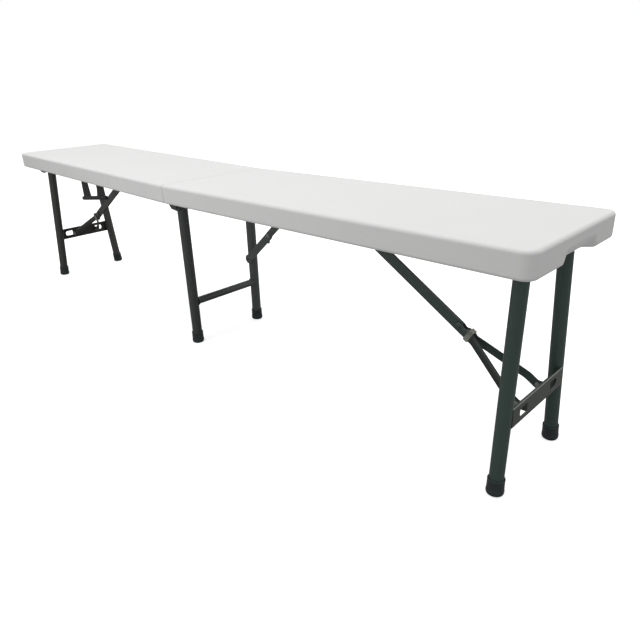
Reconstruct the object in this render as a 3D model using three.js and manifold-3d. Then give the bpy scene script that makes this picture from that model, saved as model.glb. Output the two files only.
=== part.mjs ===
// A six-foot folding bench. Two blow-moulded seat halves meet at a seam and fold together on a middle
// leg frame. Each end stands on a leg frame held by a Y-shaped knee brace with a sliding lock ring.
// X runs along the bench, Y across it and Z up, with the floor at Z = 0 under the seam.

import * as THREE from 'three';
import { mergeVertices } from 'three/addons/utils/BufferGeometryUtils.js';
import Module from 'manifold-3d';

const wasm = await Module();
wasm.setup();

// Whole bench, in millimetres
const bench_length = 1830;
const bench_width = 305;
const seat_height = 440;
const middle_settle = 11.6;
const fit_gap = 0.3;
const overrun = 6;

// Seat halves
const panel_depth = 43;
const deck_thickness = 15;
const rim_wall = 24;
const seam_wall = 8;
const seam_gap = 0.85;
const corner_radius = 29;
const seam_corner_radius = 5;
const top_edge_radius = 7;
const bottom_edge_radius = 3;
const seam_edge_share = 0.25;
const recess_corner_radius = 14;
const recess_seam_radius = 6;
const recess_draft = 3;
const notch_mouth = 130;
const notch_crown = 98;
const notch_aside = 8;
const notch_height = 21.5;
const notch_depth = 18;
const notch_round = 6;

// Fold axis and its plates
const fold_drop = 13;
const fold_ear_radius = 12.6;
const plate_gauge = 2.5;
const hinge_plate_foot = 25;
const hinge_plate_lift = 10.4;
const middle_plate_foot = 14;
const middle_plate_lift = 3;
const hinge_plate_root = 48;
const hinge_flange = 20;
const bolt_radius = 4;
const bolt_head_radius = 7.5;
const bolt_head_height = 4.5;

// Leg tubes
const tube_radius = 12.7;
const tube_wall = 1.4;
const cap_radius = 14.6;
const cap_foot_radius = 15.5;
const cap_height = 30;
const cap_base = 5;
const cap_round = 4;

// End leg frames
const leg_pivot_inset = 49;
const leg_pivot_rise = 14;
const end_foot_inset = 37;
const end_foot_spread = 107;
const end_head_spread = 76;
const top_tube_half = 103.5;
const right_ear_half = 16.5;
const right_ear_depth = 16.5;
const left_ear_half = 42;
const left_ear_depth = 26;
const bracket_flange = 14;
const bracket_half = 16.5;
const socket_depth = 22;

// Cross plate between the end legs, with lugs lanced out of its windows
const cross_drop = 260.5;
const cross_height = 36.5;
const cross_web_offset = 3.5;
const cross_gauge = 1.8;
const cross_lip = 6;
const cross_half = 88.3;
const window_inner = 42.8;
const window_outer = 69;
const window_height = 20;
const lug_radius = 8;
const lug_drop = 254;
const lug_inset = 7;
const rivet_radius = 3;
const rivet_head_radius = 5;
const rivet_head_height = 1.5;

// Y brace: channel, straps and lock ring
const brace_reach = 436;
const anchor_rise = 28;
const channel_width = 8;
const channel_height = 18;
const channel_gauge = 1.5;
const channel_nose = 37;
const web_end = 3;
const nose_height = 12;
const strap_gauge = 2.5;
const strap_height = 18;
const strap_waist = 17;
const waist_start = 12;
const waist_end = 18;
const strap_spread_start = 34;
const strap_spread_end = 22;
const ring_start = 20.5;
const ring_length = 9;
const ring_gauge = 1.6;
const anchor_plate_half = 22;
const anchor_plate_side = 20;
const anchor_gauge = 1.8;

// Middle leg frame and its two-link brace
const middle_spread = 103.5;
const rung_share = 0.3088;
const rung_radius = 9.5;
const middle_lug_share = 0.49785;
const middle_anchor_reach = 222;
const middle_anchor_rise = 4;
const link_gauge = 3;
const lower_link_height = 21;
const lower_link_ear = 12.5;
const upper_link_height = 19;
const link_overlap = 22;
const link_tab = 4;
const middle_ear_half = 12;
const middle_ear_gauge = 2.5;

// Carry handle under the near rail of the left half
const handle_centre = 447.5;
const handle_line = 123.6;
const handle_rise = 6;
const handle_rod_radius = 2;
const handle_rod_half = 104;
const handle_clip = 8;
const handle_clip_side = 3;
const handle_clip_rise = 26;
const hanger_span = 104;
const hanger_width = 40;
const hanger_flare = 10;
const hanger_gauge = 2;
const hanger_sleeve = 3.4;
const grip_drop = 39.4;
const grip_tilt = 8;
const grip_radius = 4.5;
const grip_half = 82.5;

// Facet counts
const tube_sides = 20;
const pin_sides = 12;
const corner_steps = 8;
const edge_steps = 4;
const arc_steps = 10;

// Sizes worked out from the ones above
const half_length = bench_length / 2;
const half_width = bench_width / 2;
const settle_angle = Math.asin(middle_settle / half_length);
const panel_top = fold_drop + panel_depth;
const deck_under = panel_top - deck_thickness;
const fold_height = seat_height - half_length * Math.sin(settle_angle) - panel_top * Math.cos(settle_angle);
const leg_pivot_reach = half_length - leg_pivot_inset;
const end_foot_reach = half_length - end_foot_inset;
const anchor_reach = leg_pivot_reach - brace_reach;
const rung_height = rung_share * fold_height;
const middle_lug_drop = middle_lug_share * fold_height;
const strap_inner = channel_width / 2 + fit_gap;
const strap_line = strap_inner + strap_gauge / 2;
const strap_outer = strap_inner + strap_gauge;
const lug_inner = window_inner - cross_gauge;
const strap_end_line = lug_inner - fit_gap - strap_gauge / 2;
const hole_radius = rivet_radius + fit_gap;
const bolt_hole_radius = bolt_radius + fit_gap;
const leg_inner = middle_spread - tube_radius;
const leg_outer = middle_spread + tube_radius;
const inner_plate_line = leg_inner - fit_gap - plate_gauge / 2;
const outer_plate_line = leg_outer + fit_gap + plate_gauge / 2;
const lower_link_line = leg_inner - fit_gap - plate_gauge - fit_gap - link_gauge / 2;
const upper_link_line = lower_link_line - link_gauge - fit_gap;

const white_plastic = { color: 0xe9e9e8, roughness: 0.5, metalness: 0 };
const dark_coat = { color: 0x333b3a, roughness: 0.45, metalness: 0.3 };
const zinc = { color: 0x8a8679, roughness: 0.4, metalness: 0.8 };
const black_plastic = { color: 0x1f2626, roughness: 0.7, metalness: 0 };

// A closed geometry as a solid for cutting and joining
function solidOf(geometry) {
  const bare = geometry.clone();
  bare.deleteAttribute('normal');
  bare.deleteAttribute('uv');
  const welded = mergeVertices(bare);
  const corners = welded.index.array;
  const kept = [];
  for (let i = 0; i < corners.length; i += 3) {
    const [a, b, c] = [corners[i], corners[i + 1], corners[i + 2]];
    if (a !== b && b !== c && c !== a) kept.push(a, b, c);
  }
  const places = new Float32Array(welded.attributes.position.array);
  if (signedVolume(places, kept) < 0) kept.reverse();
  const mesh = new wasm.Mesh({ numProp: 3, vertProperties: places, triVerts: new Uint32Array(kept) });
  return new wasm.Manifold(mesh);
}

function signedVolume(places, corners) {
  let sum = 0;
  const point = (i) => new THREE.Vector3(places[3 * i], places[3 * i + 1], places[3 * i + 2]);
  for (let i = 0; i < corners.length; i += 3) {
    sum += point(corners[i]).dot(point(corners[i + 1]).cross(point(corners[i + 2])));
  }
  return sum;
}

function geometryOf(solid) {
  const mesh = solid.getMesh();
  const geometry = new THREE.BufferGeometry();
  geometry.setAttribute('position', new THREE.BufferAttribute(mesh.vertProperties, mesh.numProp));
  geometry.setIndex(new THREE.BufferAttribute(mesh.triVerts, 1));
  geometry.computeVertexNormals();
  return geometry;
}

// One named piece of the bench, with a material of its own
function addPiece(group, name, shape, look) {
  const geometry = shape.isBufferGeometry ? geometryOf(solidOf(shape)) : geometryOf(shape);
  const mesh = new THREE.Mesh(geometry, new THREE.MeshStandardMaterial(look));
  mesh.name = name;
  group.add(mesh);
  return mesh;
}

// A solid from level outlines of as many points each, closed at both ends
function stackOf(outlines) {
  const count = outlines[0].length;
  const places = outlines.flat().flatMap((p) => [p.x, p.y, p.z]);
  const index = [];
  for (let layer = 0; layer + 1 < outlines.length; layer += 1) {
    for (let i = 0; i < count; i += 1) {
      const a = layer * count + i;
      const b = layer * count + (i + 1) % count;
      index.push(a, b, b + count, a, b + count, a + count);
    }
  }
  const last = (outlines.length - 1) * count;
  for (let i = 1; i + 1 < count; i += 1) {
    index.push(0, i + 1, i, last, last + i, last + i + 1);
  }
  const geometry = new THREE.BufferGeometry();
  geometry.setAttribute('position', new THREE.Float32BufferAttribute(places, 3));
  geometry.setIndex(index);
  return geometry;
}

// A plate whose outline lies in X and Z, centred on the given line across the bench
function plateOf(outline, gauge, line) {
  const plate = new THREE.ExtrudeGeometry(outline, { depth: gauge, bevelEnabled: false, curveSegments: arc_steps });
  plate.rotateX(Math.PI / 2);
  plate.translate(0, line + gauge / 2, 0);
  return plate;
}

// A block between two corners
function blockOf(low, high) {
  const block = new THREE.BoxGeometry(high[0] - low[0], high[1] - low[1], high[2] - low[2]);
  block.translate((low[0] + high[0]) / 2, (low[1] + high[1]) / 2, (low[2] + high[2]) / 2);
  return block;
}

// Turns a geometry made along +Y so that it runs from one point towards another
function laidAlong(geometry, from, to) {
  const way = new THREE.Vector3().subVectors(to, from).normalize();
  const turn = new THREE.Quaternion().setFromUnitVectors(new THREE.Vector3(0, 1, 0), way);
  geometry.applyQuaternion(turn);
  geometry.translate(from.x, from.y, from.z);
  return geometry;
}

function rodOf(radius, from, to, sides) {
  const length = from.distanceTo(to);
  const rod = new THREE.CylinderGeometry(radius, radius, length, sides);
  rod.translate(0, length / 2, 0);
  return laidAlong(rod, from, to);
}

function tubeOf(radius, wall, from, to) {
  const length = from.distanceTo(to);
  const profile = [[radius - wall, 0], [radius, 0], [radius, length], [radius - wall, length], [radius - wall, 0]];
  return laidAlong(latheOf(profile, tube_sides), from, to);
}

function latheOf(profile, sides) {
  return new THREE.LatheGeometry(profile.map(([r, y]) => new THREE.Vector2(r, y)), sides);
}

// A pin across the bench at x, z, from one y to another
function crossPin(radius, x, z, y0, y1, sides) {
  return rodOf(radius, new THREE.Vector3(x, y0, z), new THREE.Vector3(x, y1, z), sides);
}

function cutBy(shape, ...tools) {
  return tools.reduce((solid, tool) => solid.subtract(solidOf(tool)), solidOf(shape));
}

function joined(...shapes) {
  return shapes.map((shape) => (shape.isBufferGeometry ? solidOf(shape) : shape)).reduce((a, b) => a.add(b));
}

// Points of an arc about a centre, angles in radians
function arcPoints(x, z, radius, from, to, steps) {
  const points = [];
  for (let i = 0; i <= steps; i += 1) {
    const angle = from + (to - from) * i / steps;
    points.push(new THREE.Vector2(x + radius * Math.cos(angle), z + radius * Math.sin(angle)));
  }
  return points;
}

// Level outline of a seat half or its recess: square at the seam, rounded at the outer end
function levelOutline(u0, u1, side, outer, inner, height) {
  const corners = [
    [u1 - outer, side - outer, outer, 0],
    [u0 + inner, side - inner, inner, Math.PI / 2],
    [u0 + inner, inner - side, inner, Math.PI],
    [u1 - outer, outer - side, outer, 3 * Math.PI / 2],
  ];
  return corners.flatMap(([x, y, radius, start]) => arcPoints(x, y, radius, start, start + Math.PI / 2, corner_steps)
    .map((p) => new THREE.Vector3(p.x, p.y, height)));
}

// Seat half: a hollow-looking slab with a deep rim, a recess under the deck and a hand notch in its end
function seatHalf() {
  const outlines = [];
  const layer = (inset, height) => {
    const seam_inset = inset * seam_edge_share;
    outlines.push(levelOutline(seam_gap + seam_inset, half_length - inset, half_width - inset,
      corner_radius - inset, seam_corner_radius - seam_inset, height));
  };
  for (let i = 0; i <= edge_steps; i += 1) {
    const angle = Math.PI / 2 * i / edge_steps;
    layer(bottom_edge_radius * (1 - Math.sin(angle)), fold_drop + bottom_edge_radius * (1 - Math.cos(angle)));
  }
  for (let i = 0; i <= edge_steps; i += 1) {
    const angle = Math.PI / 2 * i / edge_steps;
    layer(top_edge_radius * (1 - Math.cos(angle)), panel_top - top_edge_radius * (1 - Math.sin(angle)));
  }
  const recess = [[0, fold_drop - overrun], [0, deck_under - recess_draft], [recess_draft, deck_under]]
    .map(([inset, height]) => levelOutline(seam_gap + seam_wall + inset, half_length - rim_wall - inset,
      half_width - rim_wall - inset, recess_corner_radius - inset, recess_seam_radius - inset, height));
  return cutBy(stackOf(outlines), stackOf(recess), handNotch());
}

// The hand hold: an arch scooped out of the lower outer edge of the end rim, its roof falling inwards
function handNotch() {
  const mouth = notch_mouth / 2;
  const crown = notch_crown / 2;
  const top = fold_drop + notch_height;
  const arch = new THREE.Shape();
  arch.moveTo(-mouth - notch_round, fold_drop - overrun);
  arch.lineTo(-mouth - notch_round, fold_drop);
  arch.quadraticCurveTo(-mouth, fold_drop, -mouth + notch_round, fold_drop + notch_round);
  arch.lineTo(-crown - notch_round, top - notch_round);
  arch.quadraticCurveTo(-crown, top, -crown + notch_round, top);
  arch.lineTo(crown - notch_round, top);
  arch.quadraticCurveTo(crown, top, crown + notch_round, top - notch_round);
  arch.lineTo(mouth - notch_round, fold_drop + notch_round);
  arch.quadraticCurveTo(mouth, fold_drop, mouth + notch_round, fold_drop);
  arch.lineTo(mouth + notch_round, fold_drop - overrun);
  const cut = new THREE.ExtrudeGeometry(arch, {
    depth: rim_wall + 2 * overrun, bevelEnabled: false, curveSegments: edge_steps,
  });
  const along_x = new THREE.Matrix4().makeBasis(
    new THREE.Vector3(0, 1, 0), new THREE.Vector3(0, 0, 1), new THREE.Vector3(1, 0, 0));
  cut.applyMatrix4(along_x);
  cut.translate(-rim_wall - overrun, 0, 0);
  const fall = new THREE.Matrix4();
  fall.elements[2] = notch_height / notch_depth;
  cut.applyMatrix4(fall);
  cut.translate(half_length, notch_aside, 0);
  return cut;
}

// Plate that hangs from the deck beside the seam and carries the fold bolt in its ear
function hingePlate(line, foot, lift) {
  const flange_way = -Math.sign(line);
  const seam_side = seam_gap + seam_wall + fit_gap;
  const top = deck_under - fit_gap;
  const ear = arcPoints(0, 0, fold_ear_radius, 3 * Math.PI / 2, Math.PI / 2, arc_steps);
  const outline = new THREE.Shape([
    ...ear,
    new THREE.Vector2(seam_side, fold_ear_radius),
    new THREE.Vector2(seam_side, top - recess_draft),
    new THREE.Vector2(seam_side + recess_draft, top),
    new THREE.Vector2(hinge_plate_root, top),
    new THREE.Vector2(hinge_plate_root, fold_drop),
    new THREE.Vector2(foot, -lift),
  ]);
  const plate = plateOf(outline, plate_gauge, line);
  const inner = line - flange_way * plate_gauge / 2;
  const outer = line + flange_way * hinge_flange;
  const flange = blockOf(
    [seam_side + recess_draft + fit_gap, Math.min(inner, outer), top - plate_gauge],
    [hinge_plate_root, Math.max(inner, outer), top]);
  return joined(plate, flange).subtract(solidOf(crossPin(bolt_hole_radius, 0, 0,
    line - plate_gauge, line + plate_gauge, pin_sides)));
}

// Bolt across one middle leg, from the inner plate to the outer one, with a head and a nut
function foldBolt(way) {
  const start = inner_plate_line - plate_gauge / 2 - fit_gap;
  const end = outer_plate_line + plate_gauge / 2 + fit_gap;
  const profile = [
    [0, start - bolt_head_height], [bolt_head_radius, start - bolt_head_height], [bolt_head_radius, start],
    [bolt_radius, start], [bolt_radius, end], [bolt_head_radius, end],
    [bolt_head_radius, end + bolt_head_height], [0, end + bolt_head_height],
  ];
  return latheOf(profile.map(([r, y]) => [r, way * y]), pin_sides);
}

// Bracket for an end leg: an ear beside the top tube with a flange screwed to the deck
function legBracket(way, ear_half, ear_depth) {
  const line = way * (top_tube_half + fit_gap + plate_gauge / 2);
  const top = deck_under - fit_gap;
  const shoulder = fold_drop - fit_gap;
  const bottom = leg_pivot_rise - ear_depth;
  const outline = new THREE.Shape([
    ...arcPoints(0, 0, ear_half, -Math.PI, 0, 2 * arc_steps)
      .map((p) => new THREE.Vector2(leg_pivot_reach + p.x, shoulder + p.y * (shoulder - bottom) / ear_half)),
    new THREE.Vector2(leg_pivot_reach + bracket_half, shoulder),
    new THREE.Vector2(leg_pivot_reach + bracket_half, top),
    new THREE.Vector2(leg_pivot_reach - bracket_half, top),
    new THREE.Vector2(leg_pivot_reach - bracket_half, shoulder),
  ].filter((p, i, all) => p.distanceTo(all[(i + 1) % all.length]) > 0));
  const ear = plateOf(outline, plate_gauge, line);
  const edge = line + way * bracket_flange;
  const flange = blockOf(
    [leg_pivot_reach - bracket_half, Math.min(line, edge), top - plate_gauge],
    [leg_pivot_reach + bracket_half, Math.max(line, edge), top]);
  return joined(ear, flange).subtract(solidOf(crossPin(bolt_hole_radius, leg_pivot_reach, leg_pivot_rise,
    line - plate_gauge, line + plate_gauge, pin_sides)));
}

// Short bolt from outside the bracket into the end of the top tube
function legBolt(way) {
  const face = top_tube_half + fit_gap + plate_gauge + fit_gap;
  const profile = [
    [0, top_tube_half - socket_depth + fit_gap], [bolt_radius, top_tube_half - socket_depth + fit_gap],
    [bolt_radius, face], [bolt_head_radius, face],
    [bolt_head_radius, face + bolt_head_height], [0, face + bolt_head_height],
  ];
  return latheOf(profile.map(([r, y]) => [r, way * y]), pin_sides);
}

// Two-eared bracket on the deck that holds a brace between its ears
function anchorBracket(reach, rise, inner, ear_half) {
  const top = deck_under - fit_gap;
  const outline = new THREE.Shape([
    ...arcPoints(reach, rise, ear_half, -Math.PI, 0, arc_steps),
    new THREE.Vector2(reach + ear_half, top),
    new THREE.Vector2(reach - ear_half, top),
  ]);
  const line = inner + fit_gap + anchor_gauge / 2;
  const base = blockOf([reach - anchor_plate_half, -anchor_plate_side, top - anchor_gauge],
    [reach + anchor_plate_half, anchor_plate_side, top]);
  return joined(plateOf(outline, anchor_gauge, line), plateOf(outline, anchor_gauge, -line), base)
    .subtract(solidOf(crossPin(hole_radius, reach, rise, -line - anchor_gauge, line + anchor_gauge, pin_sides)));
}

// Rivet with one flat head, its other end flush with the face of the link it holds
function flushRivet(start, end) {
  return latheOf([
    [0, start], [rivet_radius, start], [rivet_radius, end], [rivet_head_radius, end],
    [rivet_head_radius, end + rivet_head_height], [0, end + rivet_head_height],
  ], pin_sides);
}

// Rivet or pin along Y with a flat head at each end, its shank between two faces
function headedPin(start, end) {
  return latheOf([
    [0, start - rivet_head_height], [rivet_head_radius, start - rivet_head_height], [rivet_head_radius, start],
    [rivet_radius, start], [rivet_radius, end], [rivet_head_radius, end],
    [rivet_head_radius, end + rivet_head_height], [0, end + rivet_head_height],
  ], pin_sides);
}

// Moulded foot: a cup over the end of a leg, rounded below and cut level where it meets the floor
function footCap(foot, up, floor) {
  const socket = tube_radius + fit_gap;
  const rounded = [];
  for (let i = 0; i <= edge_steps; i += 1) {
    const angle = Math.PI / 2 * i / edge_steps;
    rounded.push([cap_foot_radius - cap_round * (1 - Math.sin(angle)), cap_round * (1 - Math.cos(angle)) - overrun / 4]);
  }
  const profile = [
    [0, -overrun / 4], ...rounded, [cap_radius, cap_height], [socket, cap_height], [socket, cap_base], [0, cap_base],
  ];
  const cap = laidAlong(latheOf(profile, tube_sides), foot, foot.clone().add(up));
  return solidOf(cap).subtract(solidOf(floor));
}

// Leg tube from its foot cap up to a head point
function legTube(foot, head) {
  const up = new THREE.Vector3().subVectors(head, foot).normalize();
  return tubeOf(tube_radius, tube_wall, foot.clone().addScaledVector(up, cap_base + fit_gap), head);
}

// Half-heights along a flat bar: a row of stations, each with its place, top, bottom and line across
function barOf(stations, gauge) {
  return stackOf(stations.map(([s, top, bottom, line]) => [
    new THREE.Vector3(s, line - gauge / 2, bottom),
    new THREE.Vector3(s, line + gauge / 2, bottom),
    new THREE.Vector3(s, line + gauge / 2, top),
    new THREE.Vector3(s, line - gauge / 2, top),
  ]));
}

// Stations of a half-round end of a bar about a point, going outwards or inwards
function roundEnd(centre, radius, way, line) {
  const stations = [];
  for (let i = 1; i <= edge_steps; i += 1) {
    const angle = Math.PI / 2 * i / (edge_steps + 1);
    stations.push([centre + way * radius * Math.sin(angle), radius * Math.cos(angle), -radius * Math.cos(angle), line]);
  }
  return way < 0 ? stations.reverse() : stations;
}

// One strap of the Y: parallel through the lock ring, then spread out to its lug on the cross plate
function strapOf(way, reach) {
  const half = strap_height / 2;
  const waist = strap_waist / 2;
  const near = way * strap_line;
  const wide = way * strap_end_line;
  const bar = barOf([
    ...roundEnd(0, half, -1, near),
    [0, half, -half, near],
    [waist_start, half, -half, near],
    [waist_end, waist, -waist, near],
    [strap_spread_start, waist, -waist, near],
    [reach - strap_spread_end, waist, -waist, wide],
    [reach, waist, -waist, wide],
    ...roundEnd(reach, waist, 1, wide),
  ], strap_gauge);
  const rivet_face = way * (strap_outer + rivet_head_height);
  const head = crossPin(rivet_head_radius, 0, 0, near, rivet_face, pin_sides);
  const hole = crossPin(hole_radius, reach, 0, wide - strap_gauge, wide + strap_gauge, pin_sides);
  return joined(bar, head).subtract(solidOf(hole));
}

// Upper half of the brace: a channel open below, rounded at its anchor and cut back at its nose
function channelOf(length) {
  const half = channel_height / 2;
  const side = channel_width / 2;
  const nose_drop = channel_height - nose_height;
  const outline = new THREE.Shape([
    ...arcPoints(-length, 0, half, Math.PI / 2, 3 * Math.PI / 2, arc_steps),
    new THREE.Vector2(channel_nose, -half),
    new THREE.Vector2(channel_nose, nose_height - half),
    ...arcPoints(web_end + nose_drop, half, nose_drop, 3 * Math.PI / 2, Math.PI, edge_steps),
  ]);
  const hollow = blockOf([-length - half - overrun, channel_gauge - side, -half - overrun],
    [channel_nose + overrun, side - channel_gauge, half - channel_gauge]);
  const anchor_hole = crossPin(hole_radius, -length, 0, -channel_width, channel_width, pin_sides);
  const knee_hole = crossPin(hole_radius, 0, 0, -channel_width, channel_width, pin_sides);
  return cutBy(plateOf(outline, channel_width, 0), hollow, anchor_hole, knee_hole);
}

// One cheek of the lock ring: it wraps a strap from outside and leaves the channel free to swing between the two
function ringCheek(way) {
  const inner = strap_outer + fit_gap;
  const outer = inner + ring_gauge;
  const edge = strap_height / 2 + fit_gap;
  const end = ring_start + ring_length;
  const across = (low, high) => [Math.min(way * low, way * high), Math.max(way * low, way * high)];
  const [from, to] = across(strap_inner, outer);
  const [bore_from, bore_to] = across(strap_inner - overrun, inner);
  return cutBy(
    blockOf([ring_start, from, -edge - ring_gauge], [end, to, edge + ring_gauge]),
    blockOf([ring_start - overrun, bore_from, -edge], [end + overrun, bore_to, edge]));
}

// Bar between the end legs, with a window beside each strap and the lug lanced out of it
function crossPlate(legs) {
  const half = cross_height / 2;
  const face = cross_web_offset + cross_gauge;
  const edge = cross_web_offset + cross_lip;
  const lug_rise = cross_drop - lug_drop;
  const web = blockOf([cross_web_offset, -cross_half, -half], [face, cross_half, half]);
  const lips = [half - cross_gauge, -half].map((z) => blockOf(
    [cross_web_offset, -cross_half, z], [edge, cross_half, z + cross_gauge]));
  const windows = [-1, 1].map((way) => windowCut(way));
  const lugs = [-1, 1].map((way) => {
    const outline = new THREE.Shape([
      ...arcPoints(-lug_inset, lug_rise, lug_radius, Math.PI / 2, 3 * Math.PI / 2, arc_steps),
      new THREE.Vector2(face, lug_rise - lug_radius),
      new THREE.Vector2(face, lug_rise + lug_radius),
    ]);
    return plateOf(outline, cross_gauge, way * (lug_inner + cross_gauge / 2));
  });
  const holes = crossPin(hole_radius, -lug_inset, lug_rise, -window_inner - cross_gauge, window_inner + cross_gauge,
    pin_sides);
  const plate = joined(web, ...lips).subtract(joined(...windows));
  const whole = joined(plate, ...lugs).subtract(solidOf(holes));
  const placed = geometryOf(whole);
  placed.translate(0, 0, -cross_drop);
  return cutBy(placed, ...legs);
}

// Window in the cross plate, round at its outer end
function windowCut(way) {
  const half = window_height / 2;
  const lift = cross_drop - lug_drop - half / 2;
  const outline = new THREE.Shape([
    new THREE.Vector2(window_inner, lift - half),
    ...arcPoints(window_outer - half, lift, half, -Math.PI / 2, Math.PI / 2, arc_steps),
    new THREE.Vector2(window_inner, lift + half),
  ]);
  const cut = new THREE.ExtrudeGeometry(outline, { depth: 2 * overrun, bevelEnabled: false, curveSegments: arc_steps });
  cut.applyMatrix4(new THREE.Matrix4().makeBasis(
    new THREE.Vector3(0, way, 0), new THREE.Vector3(0, 0, 1), new THREE.Vector3(way, 0, 0)));
  cut.translate(cross_web_offset - way * overrun, 0, 0);
  return cut;
}

// Places in a seat half, given along it and up from the fold axis, as places in the bench
function inBench(u, w) {
  return new THREE.Vector3(
    u * Math.cos(settle_angle) - w * Math.sin(settle_angle), 0,
    fold_height + u * Math.sin(settle_angle) + w * Math.cos(settle_angle));
}

// Splits a knee brace so that it is straight when the legs stand and flat when they are folded away
function kneeSplit(anchor, lug, folded_lug) {
  const open = anchor.distanceTo(lug);
  const folded = anchor.distanceTo(folded_lug);
  return { upper: (open + folded) / 2, lower: (open - folded) / 2 };
}

const bench = new THREE.Group();
const sides = [{ name: 'right', turn: 0, way: 1 }, { name: 'left', turn: Math.PI, way: -1 }];
const edges = [{ name: 'near', way: -1 }, { name: 'far', way: 1 }];

for (const side of sides) {
  const wing = new THREE.Group();
  wing.rotation.z = side.turn;
  bench.add(wing);
  addSeatHalf(wing, side);
  addEndFrame(wing, side);
  addBrace(wing, side);
}
addMiddleFrame(bench);
addMiddleBrace(bench);
addHandle(bench);

function tiltedHalf(parent) {
  const half = new THREE.Group();
  half.position.z = fold_height;
  half.rotation.y = -settle_angle;
  parent.add(half);
  return half;
}

function addSeatHalf(wing, side) {
  const half = tiltedHalf(wing);
  addPiece(half, `${side.name}_seat_half`, seatHalf(), white_plastic);
  addPiece(half, `${side.name}_brace_bracket`,
    anchorBracket(anchor_reach, anchor_rise, channel_width / 2, channel_height / 2), dark_coat);
  const pin_face = channel_width / 2 + fit_gap + anchor_gauge + fit_gap;
  const pin = addPiece(half, `${side.name}_brace_pin`, headedPin(-pin_face, pin_face), zinc);
  pin.position.set(anchor_reach, 0, anchor_rise);
  for (const edge of edges) {
    const way = edge.way * side.way;
    const holds_middle = side.way > 0;
    const plate = holds_middle
      ? hingePlate(way * inner_plate_line, middle_plate_foot, middle_plate_lift)
      : hingePlate(way * outer_plate_line, hinge_plate_foot, hinge_plate_lift);
    const bracket = holds_middle
      ? legBracket(way, right_ear_half, right_ear_depth)
      : legBracket(way, left_ear_half, left_ear_depth);
    addPiece(half, `${side.name}_hinge_plate_${edge.name}`, plate, dark_coat);
    addPiece(half, `${side.name}_leg_bracket_${edge.name}`, bracket, dark_coat);
    const bolt = addPiece(half, `${side.name}_leg_bolt_${edge.name}`, legBolt(way), zinc);
    bolt.position.set(leg_pivot_reach, 0, leg_pivot_rise);
    if (holds_middle) addPiece(half, `fold_bolt_${edge.name}`, foldBolt(way), zinc);
  }
}

// The leg frames are made about their top pivot, with the legs running down along -Z
function addEndFrame(wing, side) {
  const pivot = inBench(leg_pivot_reach, leg_pivot_rise);
  const lean = Math.atan2(end_foot_reach - pivot.x, pivot.z);
  const length = pivot.z / Math.cos(lean);
  const frame = new THREE.Group();
  frame.position.copy(pivot);
  frame.rotation.y = -lean;
  wing.add(frame);

  const half = top_tube_half;
  const socket = bolt_hole_radius;
  const top_tube = latheOf([
    [0, socket_depth - half], [socket, socket_depth - half], [socket, -half], [tube_radius, -half],
    [tube_radius, half], [socket, half], [socket, half - socket_depth], [0, half - socket_depth],
  ], tube_sides);
  addPiece(frame, `${side.name}_top_tube`, top_tube, dark_coat);

  const floor = blockOf([-bench_width, -bench_width, -cap_height], [bench_width, bench_width, 0]);
  floor.rotateY(lean);
  floor.translate(0, 0, -length);
  const cope = crossPin(tube_radius + fit_gap, 0, 0, -half, half, tube_sides);
  const cores = [];
  for (const edge of edges) {
    const way = edge.way * side.way;
    const foot = new THREE.Vector3(0, way * end_foot_spread, -length);
    const head = new THREE.Vector3(0, way * end_head_spread, 0);
    const up = new THREE.Vector3().subVectors(head, foot).normalize();
    addPiece(frame, `${side.name}_leg_${edge.name}`, cutBy(legTube(foot, head), cope), dark_coat);
    addPiece(frame, `${side.name}_foot_${edge.name}`, footCap(foot, up, floor), black_plastic);
    cores.push(rodOf(tube_radius + fit_gap, foot, head, tube_sides));
    const strap_face = strap_end_line - strap_gauge / 2 - fit_gap;
    const lug_face = window_inner + fit_gap;
    const rivet = addPiece(frame, `${side.name}_lug_rivet_${edge.name}`, way > 0
      ? headedPin(strap_face, lug_face) : headedPin(-lug_face, -strap_face), zinc);
    rivet.position.set(-lug_inset, 0, -lug_drop);
  }
  addPiece(frame, `${side.name}_cross_plate`, crossPlate(cores), dark_coat);
}

// The brace is made about its knee, with X running down it towards the lugs
function addBrace(wing, side) {
  const pivot = inBench(leg_pivot_reach, leg_pivot_rise);
  const lean = Math.atan2(end_foot_reach - pivot.x, pivot.z);
  const lug = new THREE.Vector3(-lug_inset, 0, -lug_drop).applyAxisAngle(new THREE.Vector3(0, 1, 0), -lean).add(pivot);
  const anchor = inBench(anchor_reach, anchor_rise);
  const folded_lug = inBench(leg_pivot_reach - lug_drop, leg_pivot_rise + lug_inset);
  const split = kneeSplit(anchor, lug, folded_lug);
  const brace = new THREE.Group();
  brace.position.copy(anchor.clone().lerp(lug, split.upper / (split.upper + split.lower)));
  brace.rotation.y = Math.atan2(anchor.z - lug.z, lug.x - anchor.x);
  wing.add(brace);
  addPiece(brace, `${side.name}_channel`, channelOf(split.upper), dark_coat);
  for (const edge of edges) {
    addPiece(brace, `${side.name}_strap_${edge.name}`, strapOf(edge.way * side.way, split.lower), dark_coat);
    addPiece(brace, `${side.name}_lock_ring_${edge.name}`, ringCheek(edge.way * side.way), zinc);
  }
}

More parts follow.
